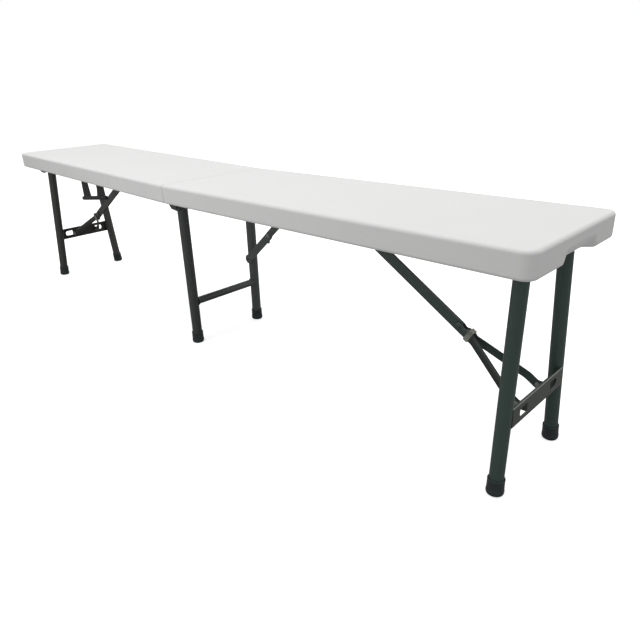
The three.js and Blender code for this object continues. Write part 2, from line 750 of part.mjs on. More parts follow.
// Middle leg frame: two upright tubes hung on the fold bolts, joined by a rung
function addMiddleFrame(parent) {
  const frame = new THREE.Group();
  frame.position.z = fold_height;
  parent.add(frame);
  const floor = blockOf([-bench_width, -bench_width, -fold_height - cap_height], [bench_width, bench_width, -fold_height]);
  const rung_z = rung_height - fold_height;
  const cores = [];
  for (const edge of edges) {
    const foot = new THREE.Vector3(0, edge.way * middle_spread, -fold_height);
    const head = new THREE.Vector3(0, edge.way * middle_spread, tube_radius);
    const up = new THREE.Vector3(0, 0, 1);
    const side = edge.way * middle_spread;
    const clear = tube_radius + overrun;
    const rounded = joined(
      crossPin(tube_radius - fit_gap, 0, 0, side - clear, side + clear, 2 * tube_sides),
      blockOf([-clear, side - clear, -fold_height], [clear, side + clear, 0]));
    const bolt_hole = crossPin(bolt_hole_radius, 0, 0, side - clear, side + clear, pin_sides);
    const tube = solidOf(legTube(foot, head)).intersect(rounded).subtract(solidOf(bolt_hole));
    addPiece(frame, `middle_leg_${edge.name}`, tube, dark_coat);
    addPiece(frame, `middle_foot_${edge.name}`, footCap(foot, up, floor), black_plastic);
    cores.push(rodOf(tube_radius + fit_gap, foot, head, tube_sides));
  }
  const rung = tubeOf(rung_radius, tube_wall, new THREE.Vector3(0, -middle_spread, rung_z),
    new THREE.Vector3(0, middle_spread, rung_z));
  addPiece(frame, 'middle_rung', cutBy(rung, ...cores), dark_coat);
  const rivet = addPiece(frame, 'middle_link_rivet', flushRivet(
    lower_link_line - link_gauge / 2, leg_inner - fit_gap - rivet_head_height), zinc);
  rivet.position.z = -middle_lug_drop;
}

// The middle brace is made about its knee, with X running up it towards the deck
function addMiddleBrace(parent) {
  const lug = new THREE.Vector3(0, 0, fold_height - middle_lug_drop);
  const anchor = inBench(middle_anchor_reach, middle_anchor_rise);
  const folded_lug = inBench(middle_lug_drop, 0);
  const split = kneeSplit(anchor, lug, folded_lug);
  const brace = new THREE.Group();
  brace.position.copy(lug.clone().lerp(anchor, split.lower / (split.upper + split.lower)));
  brace.rotation.y = -Math.atan2(anchor.z - lug.z, anchor.x - lug.x);
  parent.add(brace);

  const low = lower_link_height / 2;
  const lower = barOf([
    ...roundEnd(-split.lower, lower_link_ear, -1, lower_link_line),
    [-split.lower, lower_link_ear, -lower_link_ear, lower_link_line],
    [lower_link_ear - split.lower, low, -low, lower_link_line],
    [-link_overlap, low, -low, lower_link_line],
    [link_tab - link_overlap, low, -low - link_tab, lower_link_line],
    [2 * link_tab - link_overlap, low, -low - link_tab, lower_link_line],
    [3 * link_tab - link_overlap, low, -low, lower_link_line],
    [0, low, -low, lower_link_line],
    ...roundEnd(0, low, 1, lower_link_line),
  ], link_gauge);
  const lower_holes = crossPin(hole_radius, -split.lower, 0, lower_link_line - link_gauge, lower_link_line + link_gauge,
    pin_sides);
  addPiece(brace, 'middle_lower_link', cutBy(lower, lower_holes), dark_coat);

  const high = upper_link_height / 2;
  const upper = barOf([
    ...roundEnd(0, high, -1, upper_link_line),
    [0, high, -high, upper_link_line],
    [split.upper, high, -high, upper_link_line],
    ...roundEnd(split.upper, high, 1, upper_link_line),
  ], link_gauge);
  const face = upper_link_line - link_gauge / 2;
  const head = crossPin(rivet_head_radius, 0, 0, face - rivet_head_height, upper_link_line, pin_sides);
  const upper_hole = crossPin(hole_radius, split.upper, 0, upper_link_line - link_gauge, upper_link_line + link_gauge,
    pin_sides);
  addPiece(brace, 'middle_upper_link', joined(upper, head).subtract(solidOf(upper_hole)), dark_coat);

  const half = tiltedHalf(parent);
  const ear_line = face - fit_gap - middle_ear_gauge / 2;
  const top = deck_under - fit_gap;
  const outline = new THREE.Shape([
    ...arcPoints(middle_anchor_reach, middle_anchor_rise, middle_ear_half, -Math.PI, 0, arc_steps),
    new THREE.Vector2(middle_anchor_reach + middle_ear_half, top),
    new THREE.Vector2(middle_anchor_reach - middle_ear_half, top),
  ]);
  const flange = blockOf(
    [middle_anchor_reach - middle_ear_half, ear_line - bracket_flange, top - middle_ear_gauge],
    [middle_anchor_reach + middle_ear_half, ear_line, top]);
  const hole = crossPin(hole_radius, middle_anchor_reach, middle_anchor_rise, ear_line - middle_ear_gauge,
    ear_line + middle_ear_gauge, pin_sides);
  addPiece(half, 'middle_brace_bracket',
    joined(plateOf(outline, middle_ear_gauge, ear_line), flange).subtract(solidOf(hole)), dark_coat);
  const pin = addPiece(half, 'middle_brace_pin', headedPin(
    ear_line - middle_ear_gauge / 2 - fit_gap, upper_link_line + link_gauge / 2 + fit_gap), zinc);
  pin.position.set(middle_anchor_reach, 0, middle_anchor_rise);
}

// The handle hangs on a rod clipped to the inside of the near rail
function addHandle(parent) {
  const wing = new THREE.Group();
  wing.rotation.z = Math.PI;
  parent.add(wing);
  const half = tiltedHalf(wing);
  const rail = half_width - rim_wall - fit_gap;
  const rod_ends = [-1, 1].map((way) => handle_centre + way * handle_rod_half);
  const rod = rodOf(handle_rod_radius, new THREE.Vector3(rod_ends[0], handle_line, handle_rise),
    new THREE.Vector3(rod_ends[1], handle_line, handle_rise), pin_sides);
  const clips = [-1, 1].map((way) => {
    const u = handle_centre + way * (handle_rod_half - handle_clip / 2);
    return blockOf([u - handle_clip / 2, handle_line - handle_clip_side, handle_rise - handle_clip_side],
      [u + handle_clip / 2, rail, handle_rise + handle_clip_rise]);
  });
  addPiece(half, 'handle_rod', joined(rod, ...clips), dark_coat);

  const slope = Math.tan(THREE.MathUtils.degToRad(grip_tilt));
  const gripHeight = (u) => -grip_drop - (u - handle_centre) * slope;
  const lift = (grip_radius + fit_gap) * Math.hypot(1, slope);
  const names = ['outer', 'inner'];
  [1, -1].forEach((way, i) => {
    const u = handle_centre + way * hanger_span / 2;
    const out_edge = u + way * hanger_width / 2;
    const in_edge = u - way * hanger_width / 2;
    const flared = in_edge - way * hanger_flare;
    const strap = plateOf(new THREE.Shape([
      new THREE.Vector2(out_edge, handle_rise),
      new THREE.Vector2(in_edge, handle_rise),
      new THREE.Vector2(flared, gripHeight(flared) + lift),
      new THREE.Vector2(out_edge, gripHeight(out_edge) + lift),
    ]), hanger_gauge, handle_line);
    const sleeve = rodOf(hanger_sleeve, new THREE.Vector3(in_edge, handle_line, handle_rise),
      new THREE.Vector3(out_edge, handle_line, handle_rise), pin_sides);
    const bore = rodOf(handle_rod_radius + fit_gap, new THREE.Vector3(u - hanger_width, handle_line, handle_rise),
      new THREE.Vector3(u + hanger_width, handle_line, handle_rise), pin_sides);
    addPiece(half, `handle_hanger_${names[i]}`, joined(strap, sleeve).subtract(solidOf(bore)), black_plastic);
  });
  const ends = [-1, 1].map((way) => handle_centre + way * grip_half)
    .map((u) => new THREE.Vector3(u, handle_line, gripHeight(u)));
  const length = ends[0].distanceTo(ends[1]);
  const grip = new THREE.CapsuleGeometry(grip_radius, length - 2 * grip_radius, edge_steps, pin_sides);
  grip.translate(0, length / 2, 0);
  addPiece(half, 'handle_grip', laidAlong(grip, ends[0], ends[1]), black_plastic);
}

export default bench;
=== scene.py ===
import math

import bmesh
import bpy
from mathutils import Matrix, Vector


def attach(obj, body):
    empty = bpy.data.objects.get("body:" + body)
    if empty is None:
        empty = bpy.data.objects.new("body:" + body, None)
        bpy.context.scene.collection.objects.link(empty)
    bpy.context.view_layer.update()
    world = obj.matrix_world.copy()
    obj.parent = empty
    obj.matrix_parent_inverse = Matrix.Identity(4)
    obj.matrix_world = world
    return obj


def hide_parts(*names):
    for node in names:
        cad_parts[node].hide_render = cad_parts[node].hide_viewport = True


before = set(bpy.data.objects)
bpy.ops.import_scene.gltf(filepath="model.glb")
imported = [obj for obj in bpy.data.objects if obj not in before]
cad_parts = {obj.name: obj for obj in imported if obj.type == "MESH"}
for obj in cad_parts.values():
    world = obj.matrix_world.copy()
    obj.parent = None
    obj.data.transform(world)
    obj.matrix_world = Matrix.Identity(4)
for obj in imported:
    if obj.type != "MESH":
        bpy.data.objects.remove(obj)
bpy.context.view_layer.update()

# The view of the bench
# A wide view from beyond the right end, near edge in front, looking down along the seat.
# The focal length is for a 36 mm sensor.
view_point = Vector((1.2042, -0.8299, 0.6593))
view_yaw = math.radians(135.38)
view_pitch = math.radians(-23.96)
view_roll = math.radians(-1.96)
forward = Vector((
    math.cos(view_pitch) * math.cos(view_yaw),
    math.cos(view_pitch) * math.sin(view_yaw),
    math.sin(view_pitch),
))
level_right = forward.cross(Vector((0, 0, 1))).normalized()
level_up = level_right.cross(forward)
right = level_right * math.cos(view_roll) + level_up * math.sin(view_roll)
up = level_up * math.cos(view_roll) - level_right * math.sin(view_roll)
camera_data = bpy.data.cameras.new("bench_view")
camera_data.lens = 31.35
camera_data.sensor_width = 36
camera = bpy.data.objects.new("bench_view", camera_data)
bpy.context.scene.collection.objects.link(camera)
turned = Matrix((right, up, -forward)).transposed().to_4x4()
camera.matrix_world = Matrix.Translation(view_point) @ turned
bpy.context.scene.camera = camera
bpy.context.scene.view_settings.view_transform = "Standard"


# Studio
# A white floor that keeps the bench's shadow, a white surround, and three large soft lamps.
# Shader sums are written as plain expressions on this small wrapper of a socket.
class Flow:
    def __init__(self, tree, socket=None):
        self.tree = tree
        self.socket = socket

    def feed(self, value, socket):
        if isinstance(value, Flow):
            self.tree.links.new(value.socket, socket)
        else:
            socket.default_value = value

    def node(self, kind, output=0, settings=None, inputs=None):
        made = self.tree.nodes.new(kind)
        for key, value in (settings or {}).items():
            if key == "stops":
                # A new ramp has a stop at each end, which take the first two values.
                for place, colour in value[2:]:
                    made.color_ramp.elements.new(place).color = colour
                for stop, (place, colour) in zip((0, -1), value[:2]):
                    made.color_ramp.elements[stop].position = place
                    made.color_ramp.elements[stop].color = colour
            else:
                setattr(made, key, value)
        for key, value in (inputs or {}).items():
            self.feed(value, made.inputs[key])
        return Flow(self.tree, made.outputs[output])

    def sum_of(self, operation, first, second):
        return self.node("ShaderNodeMath", 0, {"operation": operation}, {0: first, 1: second})

    def __add__(self, other):
        return self.sum_of("ADD", self, other)

    __radd__ = __add__

    def __sub__(self, other):
        return self.sum_of("SUBTRACT", self, other)

    def __rsub__(self, other):
        return self.sum_of("SUBTRACT", other, self)

    def __mul__(self, other):
        return self.sum_of("MULTIPLY", self, other)

    __rmul__ = __mul__

    def __truediv__(self, other):
        return self.sum_of("DIVIDE", self, other)

    def clipped(self, low, high):
        return self.node("ShaderNodeClamp", 0, {}, {"Value": self, "Min": low, "Max": high})

    def part(self, axis):
        return self.node("ShaderNodeSeparateXYZ", axis, {}, {0: self})

    def noise(self, scale, detail=2.0, rough=0.5, stretch=(1, 1, 1)):
        spread = self.node("ShaderNodeMapping", 0, {}, {"Vector": self, "Scale": stretch})
        return self.node("ShaderNodeTexNoise", "Fac", {},
                         {"Vector": spread, "Scale": scale, "Detail": detail, "Roughness": rough})

    def blend(self, first, second):
        return self.node("ShaderNodeMix", 2, {"data_type": "RGBA"}, {0: self, 6: first, 7: second})

    def shading(self, colour):
        return self.node("ShaderNodeVectorMath", 0, {"operation": "SCALE"}, {0: colour, 3: self})

    def bump(self, strength, distance):
        return self.node("ShaderNodeBump", 0, {},
                         {"Height": self, "Strength": strength, "Distance": distance})


def new_finish(name, colour, roughness, metallic=0.0, level=0.5):
    finish = bpy.data.materials.new(name)
    finish.use_nodes = True
    finish.diffuse_color = colour
    shader = finish.node_tree.nodes["Principled BSDF"]
    shader.inputs["Base Color"].default_value = colour
    shader.inputs["Roughness"].default_value = roughness
    shader.inputs["Metallic"].default_value = metallic
    shader.inputs["Specular IOR Level"].default_value = level
    flow = Flow(finish.node_tree)
    place = flow.node("ShaderNodeTexCoord", "Object")
    return finish, shader, flow, place


def linear(red, green, blue):
    def one(part):
        share = part / 255
        return share / 12.92 if share <= 0.04045 else ((share + 0.055) / 1.055) ** 2.4

    return one(red), one(green), one(blue), 1


def grey(level):
    return level, level, level, 1


world = bpy.data.worlds.new("studio")
world.use_nodes = True
bpy.context.scene.world = world
room = Flow(world.node_tree)
ray = room.node("ShaderNodeLightPath", "Is Camera Ray")
mirror_ray = room.node("ShaderNodeLightPath", "Is Glossy Ray")
ambient = 0.45
seen = room.sum_of("MAXIMUM", ray, mirror_ray)
backdrop = world.node_tree.nodes["Background"]
backdrop.inputs["Color"].default_value = grey(1)
room.feed(seen * (1 - ambient) + ambient, backdrop.inputs["Strength"])

floor_grey, seen_grey, seen_glow = grey(0.46), grey(0.9), grey(0.64)
floor_reach = 90
floor_height = -0.0005
floor_finish, floor_shader, flow, place = new_finish("studio_floor", floor_grey, 0.9, 0, 0)
floor_ray = flow.node("ShaderNodeLightPath", "Is Camera Ray")
flow.feed(floor_ray.blend(floor_grey, seen_grey), floor_shader.inputs["Base Color"])
flow.feed(floor_ray.blend(grey(0), seen_glow), floor_shader.inputs["Emission Color"])
floor_shader.inputs["Emission Strength"].default_value = 1
floor_mesh = bpy.data.meshes.new("studio_floor")
floor_corners = [(x * floor_reach, y * floor_reach, floor_height)
                 for x, y in ((-1, -1), (1, -1), (1, 1), (-1, 1))]
floor_mesh.from_pydata(floor_corners, [], [(0, 1, 2, 3)])
floor_mesh.materials.append(floor_finish)
floor = bpy.data.objects.new("studio_floor", floor_mesh)
bpy.context.scene.collection.objects.link(floor)


def soft_lamp(name, place_at, aim, width, power):
    lamp_data = bpy.data.lights.new(name, "AREA")
    lamp_data.size = width
    lamp_data.energy = power
    lamp = bpy.data.objects.new(name, lamp_data)
    bpy.context.scene.collection.objects.link(lamp)
    lamp.location = place_at
    lamp.rotation_euler = (Vector(aim) - Vector(place_at)).to_track_quat("-Z", "Y").to_euler()


soft_lamp("top_lamp", (0.1, -0.1, 4.6), (0, 0, 0.3), 4.0, 108)
soft_lamp("near_lamp", (-0.13, -1.25, 0.82), (-0.13, 0, 0.4), 0.9, 3.2)
soft_lamp("end_lamp", (3.5, 0.4, 0.9), (0.9, 0, 0.4), 1.5, 1.5)


# Seat halves
# Two hollow double-walled halves blow moulded in white polyethylene, with a deep rounded rim and a finely
# grained skin. The deck is thinner than the rim, and a hand hold is scooped out of each outer end rim.
# Lengths of a half run from the seam outwards, and heights from the fold axis, on the half's own slope.
seat_height = 0.44
half_length = 0.915
half_width = 0.1525
settle = math.asin(0.0116 / half_length)
rim_plane = 0.0112
panel_top = 0.056
deck_under = 0.041
rim_wall = 0.024
seam_gap = 0.00085
seam_wall = 0.008
lower_round = 0.0065
upper_round = 0.007
corner_round = 0.0215
seam_round = 0.005
fold_height = seat_height - half_length * math.sin(settle) - panel_top * math.cos(settle)
sides = {"right": 1, "left": -1}
edges = {"near": -1, "far": 1}


def in_bench(side, u, y, w):
    along = u * math.cos(settle) - w * math.sin(settle)
    height = fold_height + u * math.sin(settle) + w * math.cos(settle)
    return Vector((side * along, side * y, height))


def marked_sharp(mesh, limit):
    work = bmesh.new()
    work.from_mesh(mesh)
    for face in work.faces:
        face.smooth = True
    for edge in work.edges:
        edge.smooth = len(edge.link_faces) == 2 and edge.calc_face_angle(0) < math.radians(limit)
    work.to_mesh(mesh)
    work.free()


def new_piece(name, points, faces, finish, limit=40):
    mesh = bpy.data.meshes.new(name)
    mesh.from_pydata([tuple(p) for p in points], [], faces)
    work = bmesh.new()
    work.from_mesh(mesh)
    bmesh.ops.remove_doubles(work, verts=work.verts, dist=1e-6)
    bmesh.ops.recalc_face_normals(work, faces=work.faces)
    work.to_mesh(mesh)
    work.free()
    mesh.materials.append(finish)
    marked_sharp(mesh, limit)
    piece = bpy.data.objects.new(name, mesh)
    bpy.context.scene.collection.objects.link(piece)
    return piece


def settled(piece):
    bpy.context.view_layer.update()
    whole = piece.evaluated_get(bpy.context.evaluated_depsgraph_get())
    mesh = bpy.data.meshes.new_from_object(whole)
    piece.modifiers.clear()
    piece.data = mesh
    mesh.name = piece.name
    return piece


def ring_faces(layers, count):
    faces = [tuple(reversed(range(count)))]
    for layer in range(layers - 1):
        low = layer * count
        for i in range(count):
            after = (i + 1) % count
            faces.append((low + i, low + after, low + count + after, low + count + i))
    faces.append(tuple(range((layers - 1) * count, layers * count)))
    return faces


def level_ring(u0, u1, half, outer, inner, steps):
    corners = (
        (u1 - outer, half - outer, outer, 0),
        (u0 + inner, half - inner, inner, 90),
        (u0 + inner, inner - half, inner, 180),
        (u1 - outer, outer - half, outer, 270),
    )
    ring = []
    for x, y, radius, start in corners:
        for i in range(steps + 1):
            angle = math.radians(start + 90 * i / steps)
            ring.append((x + radius * math.cos(angle), y + radius * math.sin(angle)))
    return ring


def stacked(name, side, rings, finish):
    points = [in_bench(side, u, y, w) for ring, w in rings for u, y in ring]
    return new_piece(name, points, ring_faces(len(rings), len(rings[0][0])), finish)


def cut_away(piece, cutter):
    cut = piece.modifiers.new("cut", "BOOLEAN")
    cut.operation = "DIFFERENCE"
    cut.solver = "EXACT"
    cut.object = cutter
    settled(piece)
    bpy.data.objects.remove(cutter)


def evenly_shaded(piece):
    weigh = piece.modifiers.new("weigh", "WEIGHTED_NORMAL")
    weigh.weight = 100
    weigh.keep_sharp = True
    return settled(piece)


def eased(piece, width, steps=3, limit=30):
    bevel = piece.modifiers.new("bevel", "BEVEL")
    bevel.width = width
    bevel.segments = steps
    bevel.limit_method = "ANGLE"
    bevel.angle_limit = math.radians(limit)
    bevel.harden_normals = False
    return evenly_shaded(piece)


def half_body(name, side, finish):
    steps = 8
    turns = [math.radians(90 * i / steps) for i in range(steps + 1)]
    levels = [(lower_round * (1 - math.sin(turn)), rim_plane + lower_round * (1 - math.cos(turn)))
              for turn in turns]
    levels += [(upper_round * (1 - math.cos(turn)), panel_top - upper_round * (1 - math.sin(turn)))
               for turn in turns]
    rings = []
    for inset, w in levels:
        seam_inset = inset / 4
        ring = level_ring(seam_gap + seam_inset, half_length - inset, half_width - inset,
                          corner_round - inset, seam_round - seam_inset, 14)
        rings.append((ring, w))
    return stacked(name, side, rings, finish)


def recess_cutter(side, finish):
    levels = ((-0.004, rim_plane - 0.006), (-0.0025, rim_plane), (-0.0008, rim_plane + 0.0009),
              (0, rim_plane + 0.003), (0, deck_under - 0.004), (0.0012, deck_under - 0.0012),
              (0.004, deck_under))
    least_seam_inset = -0.001
    outer_round, inner_round = 0.014, 0.006
    rings = []
    for inset, w in levels:
        ring = level_ring(seam_gap + seam_wall + max(inset, least_seam_inset),
                          half_length - rim_wall - inset, half_width - rim_wall - inset,
                          outer_round - inset, inner_round - inset, 8)
        rings.append((ring, w))
    return stacked("recess_cutter", side, rings, finish)


def notch_profile(flare):
    mouth = 0.065 + flare
    crown = 0.049 + flare
    top = rim_plane + 0.0233 + flare
    path = ((-mouth - 0.008, rim_plane - 0.006), (-mouth - 0.007, rim_plane - 0.0004),
            (-mouth, rim_plane), (-mouth + 0.0045, rim_plane + 0.006),
            (-crown - 0.0045, top - 0.006), (-crown, top), (-crown + 0.006, top))
    rounded = (2, 5)
    steps = 6
    curve = []
    for i, (y, w) in enumerate(path):
        if i not in rounded:
            curve.append((y, w))
            continue
        before, after = path[i - 1], path[i + 1]
        for step in range(1, steps):
            t = step / steps
            first, middle, last = (1 - t) ** 2, 2 * t * (1 - t), t * t
            curve.append((first * before[0] + middle * y + last * after[0],
                          first * before[1] + middle * w + last * after[1]))
    return curve + [(-y, w) for y, w in reversed(curve)]


def notch_cutter(side, finish):
    layers = ((-0.022, 0), (-0.0036, 0), (-0.0022, 0.0003), (-0.0010, 0.001), (0, 0.0022), (0.006, 0.004))
    fall = 0.0215 / 0.018
    aside = 0.008
    points = []
    for shift, flare in layers:
        for y, w in notch_profile(flare):
            points.append(in_bench(side, half_length + shift, aside + y, w + shift * fall))
    faces = ring_faces(len(layers), len(points) // len(layers))
    return new_piece("notch_cutter", points, faces, finish)


white_colour = linear(231, 231, 230)
white, shader, flow, place = new_finish("white_moulding", white_colour, 0.5, 0, 0.4)
patches = place.noise(7, 3)
grain = place.noise(1500, 2, 0.6)
pores = place.noise(520, 2, 0.6)
outwards = flow.node("ShaderNodeMath", 0, {"operation": "ABSOLUTE"}, {0: place.part(0)})
above_rim = (place.part(2) - fold_height) * math.cos(settle) - outwards * math.sin(settle) - rim_plane
# Painted shade: the white is darkened over the lowest 5.5 mm of the rim, where its under edge faces the
# floor.
lip_height = 0.0055
lowest_painted_shade = 0.83
painted_rim_edge_shade = (above_rim / lip_height).clipped(0, 1) * (1 - lowest_painted_shade) + lowest_painted_shade
shade = ((patches - 0.5) * 0.06 + (grain - 0.5) * 0.05 + 1) * painted_rim_edge_shade
flow.feed(shade.shading(white_colour[:3]), shader.inputs["Base Color"])
flow.feed(patches * 0.12 + grain * 0.1 + 0.38, shader.inputs["Roughness"])
flow.feed((grain * 0.6 + pores * 0.4).bump(0.35, 0.0004), shader.inputs["Normal"])

for label, side in sides.items():
    half = half_body(f"{label}_half_moulding", side, white)
    cut_away(half, recess_cutter(side, white))
    cut_away(half, notch_cutter(side, white))
    marked_sharp(half.data, 34)
    evenly_shaded(half)
    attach(half, f"{label}_half")
    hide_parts(f"{label}_seat_half")


# Pressed brackets under the deck
# Steel pressings that carry the leg frames, braces and fold bolts, with a flange screwed up into the deck.
# They are stamped from 2.5 mm sheet, their edges left slightly rounded under a satin dark powder coat.
# The coat's hue drifts along the bench, and light is painted into it: it is made lighter towards the far
# side.
def coat_finish(name, left, middle, right, level=0.5):
    finish, shader, flow, place = new_finish(name, middle, 0.42, 0, level)
    peel = place.noise(620, 3, 0.55)
    fine = place.noise(2600, 1, 0.5)
    drift = place.noise(9, 2)
    where_x, where_y = place.part(0), place.part(1)
    hue = flow.node("ShaderNodeValToRGB", 0, {"stops": [(0, left), (1, right), (0.5, middle)]},
                    {"Fac": where_x * 0.57 + 0.5})
    # Painted light and shade: the coat is lighter towards the far side and a little darker on the near side,
    # fading out at the right end.
    painted_far_light = (1.6 - where_x * 2).clipped(0, 1) * (where_y * 10).clipped(-0.2, 0.6)
    shade = (drift - 0.5) * 0.25 + (fine - 0.5) * 0.12 + 1 + painted_far_light
    flow.feed(shade.shading(hue), shader.inputs["Base Color"])
    flow.feed(peel * 0.14 + drift * 0.08 + 0.3, shader.inputs["Roughness"])
    flow.feed((peel * 0.7 + fine * 0.3).bump(0.3, 0.0003), shader.inputs["Normal"])
    return finish


coat = coat_finish("dark_powder_coat", linear(55, 55, 52), linear(58, 62, 60), linear(48, 67, 61))
# A darker copy of the coat, which paints shade onto the parts that take it.
shaded_coat = coat_finish("shaded_coat", linear(54, 52, 48), linear(50, 54, 50), linear(42, 52, 47), 0.3)


def dressed(node, finish, width=0.0006, limit=30):
    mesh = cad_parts[node].data.copy()
    work = bmesh.new()
    work.from_mesh(mesh)
    bmesh.ops.remove_doubles(work, verts=work.verts, dist=2e-6)
    bmesh.ops.dissolve_limit(work, angle_limit=math.radians(1), verts=work.verts, edges=work.edges)
    work.to_mesh(mesh)
    work.free()
    mesh.materials.clear()
    mesh.materials.append(finish)
    marked_sharp(mesh, 180)
    piece = bpy.data.objects.new(f"{node}_finished", mesh)
    bpy.context.scene.collection.objects.link(piece)
    eased(piece, width, 3, limit)
    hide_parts(node)
    return piece


for label in sides:
    names = [f"{label}_brace_bracket"]
    names += [f"{label}_hinge_plate_{edge}" for edge in edges]
    names += [f"{label}_leg_bracket_{edge}" for edge in edges]
    if label == "right":
        names.append("middle_brace_bracket")
    for node in names:
        piece = dressed(node, coat)
        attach(piece, f"{label}_half")


# Screws, rivets and bolts
# Coated pan head screws hold the flanges to the deck. Hex bolts carry the legs and the fold, and
# domed rivets the braces. Each kind of head is turned once and set out at its points by one node tree.
def new_tree(name, sockets):
    tree = bpy.data.node_groups.new(name, "GeometryNodeTree")
    tree.interface.new_socket(name="Geometry", in_out="OUTPUT", socket_type="NodeSocketGeometry")
    for label, kind in sockets:
        tree.interface.new_socket(name=label, in_out="INPUT", socket_type=kind)
    flow = Flow(tree)
    entry = tree.nodes.new("NodeGroupInput")
    inputs = {label: Flow(tree, entry.outputs[label]) for label, kind in sockets}
    leave = tree.nodes.new("NodeGroupOutput")

    def finish_with(geometry):
        real = flow.node("GeometryNodeRealizeInstances", 0, {}, {"Geometry": geometry})
        coated = flow.node("GeometryNodeSetMaterial", 0, {},
                           {"Geometry": real, "Material": inputs["Material"]})
        flow.feed(coated, leave.inputs[0])

    return tree, flow, inputs, finish_with


def use_tree(piece, tree, values):
    grown = piece.modifiers.new("grown", "NODES")
    grown.node_group = tree
    for item in tree.interface.items_tree:
        if item.in_out == "INPUT" and item.name in values:
            grown[item.identifier] = values[item.name]
    return settled(piece)


heads_tree, flow, inputs, finish_with = new_tree("heads_at_points", [
    ("Geometry", "NodeSocketGeometry"), ("Head", "NodeSocketObject"), ("Size", "NodeSocketFloat"),
    ("Material", "NodeSocketMaterial")])
shape = flow.node("GeometryNodeObjectInfo", "Geometry", {"transform_space": "ORIGINAL"},
                  {"Object": inputs["Head"]})
facing = flow.node("GeometryNodeInputNamedAttribute", 0, {"data_type": "FLOAT_VECTOR"},
                   {"Name": "facing"})
turn = flow.node("FunctionNodeAlignRotationToVector", 0, {"axis": "Z"}, {"Vector": facing})
placed = flow.node("GeometryNodeInstanceOnPoints", 0, {}, {
    "Points": inputs["Geometry"], "Instance": shape, "Rotation": turn, "Scale": inputs["Size"]})
finish_with(placed)


def turned_head(name, profile, hexagon=None):
    steps = 32
    sixth = math.pi / 3
    points = []
    for radius, height in profile:
        for i in range(steps):
            angle = 2 * math.pi * i / steps
            reach = radius
            if hexagon and radius > hexagon[0]:
                from_flat = (angle + sixth / 2) % sixth - sixth / 2
                reach = min(radius, hexagon[1] / math.cos(from_flat))
            points.append((reach * math.cos(angle), reach * math.sin(angle), height))
    return new_piece(name, points, ring_faces(len(profile), steps), coat, 28)


def set_heads(name, body, head, spots, nodes=(), finish=coat):
    mesh = bpy.data.meshes.new(name)
    mesh.from_pydata([tuple(spot) for spot, way in spots], [], [])
    facing = mesh.attributes.new("facing", "FLOAT_VECTOR", "POINT")
    for item, (spot, way) in zip(facing.data, spots):
        item.vector = way
    piece = bpy.data.objects.new(name, mesh)
    bpy.context.scene.collection.objects.link(piece)
    use_tree(piece, heads_tree, {"Head": head, "Size": 1.0, "Material": finish})
    marked_sharp(piece.data, 28)
    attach(piece, body)
    if nodes:
        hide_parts(*nodes)


# Each pair is a radius and a height above the face that the head sits on.
screw_head = turned_head("screw_head", (
    (0.0018, -0.003), (0.0018, 0), (0.0058, 0), (0.006, 0.0003), (0.006, 0.0006), (0.0044, 0.0007),
    (0.0044, 0.0015), (0.0040, 0.0023), (0.0030, 0.0028), (0.0017, 0.003), (0.0014, 0.0021),
    (0.0004, 0.0019)))
bolt_head = turned_head("bolt_head", (
    (0.0038, -0.009), (0.0038, 0), (0.0072, 0), (0.0075, 0.0003), (0.0075, 0.0008), (0.0066, 0.001),
    (0.0066, 0.0037), (0.0060, 0.0043), (0.0050, 0.0045), (0.0036, 0.0045), (0.0033, 0.0040),
    (0.0004, 0.0040)), (0.0055, 0.0058))
rivet_head = turned_head("rivet_head", (
    (0.0028, -0.0035), (0.0028, 0), (0.0048, 0), (0.005, 0.0003), (0.0046, 0.0008), (0.0036, 0.0013),
    (0.0020, 0.0015), (0.0004, 0.00152)))

bracket_gap = 0.0003
flange_under = deck_under - bracket_gap - 0.0025
base_under = deck_under - bracket_gap - 0.0018
frame_u, frame_w = 0.866, 0.014
brace_u, brace_w = 0.430, 0.028
link_u, link_w = 0.222, 0.004
hinge_screws = (0.0225, 0.0395)
hinge_screw_y = {"right": 0.08925 - 0.0115, "left": 0.11785 - 0.0115}
leg_screws = (0.857, 0.875)
leg_screw_y = 0.1125
brace_screws = (brace_u - 0.015, brace_u + 0.015)
brace_screw_y = 0.0135
link_screw_y = 0.0725
leg_bolt_y = 0.1066
fold_bolt_y, fold_nut_y = 0.1194, 0.0877
brace_pin_y = 0.0064
link_pin_near, link_pin_far = 0.0783, 0.0847
down = (0, 0, -1)
for label, side in sides.items():
    spots = []
    for edge in edges.values():
        for u in hinge_screws:
            spots.append((in_bench(side, u, edge * hinge_screw_y[label], flange_under), down))
        for u in leg_screws:
            spots.append((in_bench(side, u, edge * leg_screw_y, flange_under), down))
    for u in brace_screws:
        for y in (-brace_screw_y, brace_screw_y):
            spots.append((in_bench(side, u, y, base_under), down))
    if label == "right":
        for aside in (-0.0045, 0.0045):
            spots.append((in_bench(side, link_u + aside, link_screw_y + aside, flange_under), down))
    set_heads(f"{label}_deck_screws", f"{label}_half", screw_head, spots)

    spots = []
    nodes = []
    for edge, way in edges.items():
        outward, inward = (0, way, 0), (0, -way, 0)
        spots.append((in_bench(side, frame_u, side * way * leg_bolt_y, frame_w), outward))
        nodes.append(f"{label}_leg_bolt_{edge}")
        if label == "right":
            spots.append((Vector((0, way * fold_bolt_y, fold_height)), outward))
            spots.append((Vector((0, way * fold_nut_y, fold_height)), inward))
            nodes.append(f"fold_bolt_{edge}")
    set_heads(f"{label}_bolts", f"{label}_half", bolt_head, spots, nodes)

    spots = [(in_bench(side, brace_u, side * way * brace_pin_y, brace_w), (0, way, 0))
             for way in edges.values()]
    nodes = [f"{label}_brace_pin"]
    if label == "right":
        spots.append((in_bench(side, link_u, link_pin_near, link_w), (0, -1, 0)))
        spots.append((in_bench(side, link_u, link_pin_far, link_w), (0, 1, 0)))
        nodes.append("middle_brace_pin")
    set_heads(f"{label}_brace_pins", f"{label}_half", rivet_head, spots, nodes)


